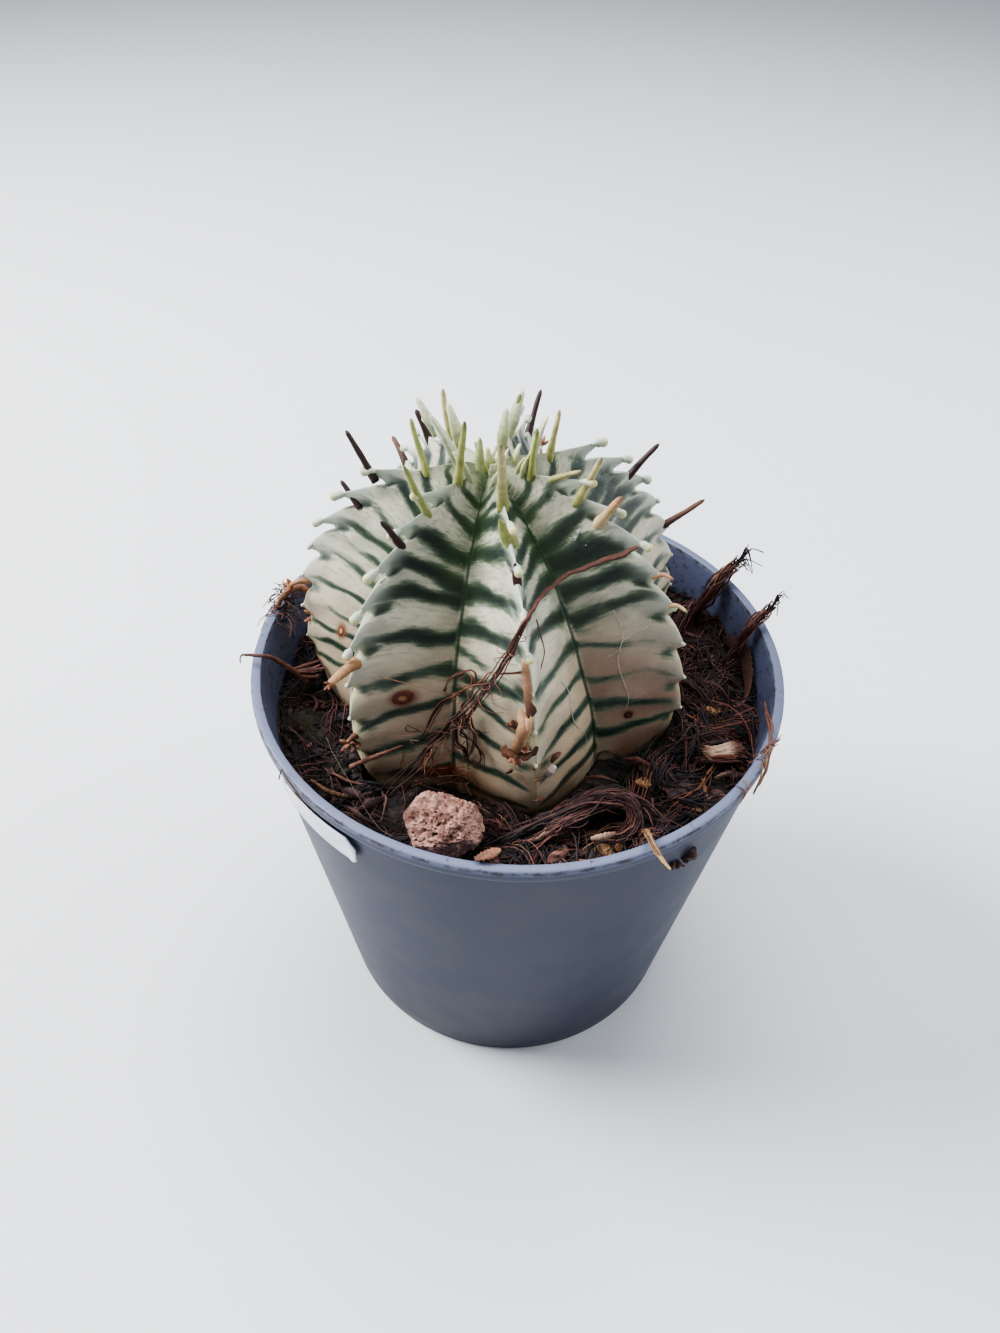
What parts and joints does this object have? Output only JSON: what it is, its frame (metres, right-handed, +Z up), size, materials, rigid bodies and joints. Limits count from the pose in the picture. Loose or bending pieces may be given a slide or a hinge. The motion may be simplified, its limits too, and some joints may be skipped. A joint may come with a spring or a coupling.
{
  "type": "potted variegated melon spurge",
  "caption": "Round ribbed succulent with banded cream and green skin, toothed ridges and flower stalks, rooted in rough peat in a plain tapered grey plastic nursery pot",
  "frame": {"origin": "centre of the pot's foot ring, on the surface that the pot stands on", "axes": "+Z up along the pot's axis, -Y towards the front rib, +X to the right seen from the front"},
  "size_m": [0.0557, 0.055, 0.0743],
  "materials": {
    "pot_plastic": "matte blue-grey moulded plastic with fine scuffs",
    "label_paper": "blank white sticker",
    "peat": "dark brown peat with coir fibres, very rough",
    "spurge_skin": "waxy cream skin with soft dark green cross bands",
    "pinkish_stone": "porous granular pinkish tan stone",
    "bark": "pale torn bark",
    "coir": "reddish brown coir fibre",
    "straw": "pale dry straw",
    "dry_twig": "dry brown twig"
  },
  "bodies": {
    "root": {"pot": "pot_plastic", "pot_label": "label_paper", "soil": "peat", "spurge": "spurge_skin", "stone": "pinkish_stone", "bark_chip": "bark", "coir_strand": "coir", "coir_bundle": "coir", "straw": "straw", "left_twig": "dry_twig", "front_stick": "dry_twig", "back_stick": "coir", "side_stick": "coir"}
  },
  "joints": []
}
